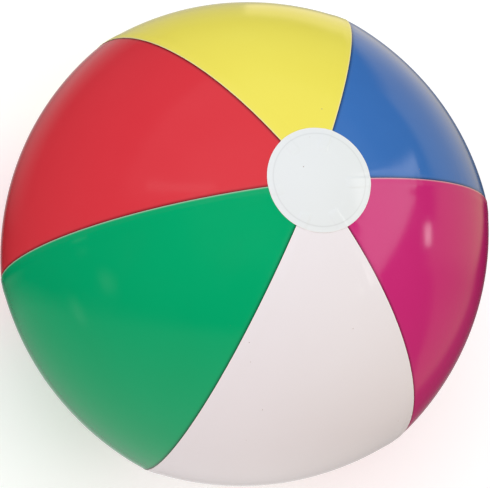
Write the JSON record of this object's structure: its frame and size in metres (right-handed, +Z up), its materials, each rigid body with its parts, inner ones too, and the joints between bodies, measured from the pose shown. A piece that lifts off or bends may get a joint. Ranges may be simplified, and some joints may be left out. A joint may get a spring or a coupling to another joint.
{
  "type": "inflatable beach ball",
  "caption": "Inflatable beach ball of coloured film gores with round end discs and a push-in blow-up valve with a stopper on a strap.",
  "frame": {"origin": "centre of the flat patch under the lower end disc, where the ball stands", "axes": "+Z up along the ball's polar axis through both end discs; +X through the middle of the blue gore, along the valve's axis and out of the ball; Y across it"},
  "size_m": [0.33, 0.3344, 0.3286],
  "materials": {
    "film_red": "glossy opaque PVC film",
    "film_yellow": "glossy opaque PVC film",
    "film_blue": "glossy opaque PVC film",
    "film_pink": "glossy opaque PVC film",
    "film_white": "glossy opaque PVC film",
    "film_green": "glossy opaque PVC film",
    "film_disc": "glossy opaque PVC film",
    "valve_soft": "soft milky PVC moulding"
  },
  "bodies": {
    "root": {"gore_red": "film_red", "gore_yellow": "film_yellow", "gore_blue": "film_blue", "gore_pink": "film_pink", "gore_white": "film_white", "gore_green": "film_green", "end_disc_top": "film_disc", "end_disc_bottom": "film_disc", "valve_flange": "valve_soft", "valve_skirt": "valve_soft"},
    "stem": {"valve_stem": "valve_soft"},
    "stopper": {"stopper": "valve_soft"},
    "check_flap": {"check_flap": "valve_soft"}
  },
  "joints": [
    {"name": "valve_push", "type": "slide", "parent": "root", "child": "stem", "axis": [1, 0, 0], "range_m": [0, 0.014]},
    {"name": "stopper_hinge", "type": "hinge", "parent": "stem", "child": "stopper", "pos_m": [0.16485, 0, 0.17188], "axis": [0, -1, 0], "range_deg": [0, 150]},
    {"name": "flap_hinge", "type": "hinge", "parent": "stem", "child": "check_flap", "pos_m": [0.14835, 0, 0.16798], "axis": [0, 1, 0], "range_deg": [0, 70], "stiffness_Nm_per_rad": 0.00002}
  ]
}
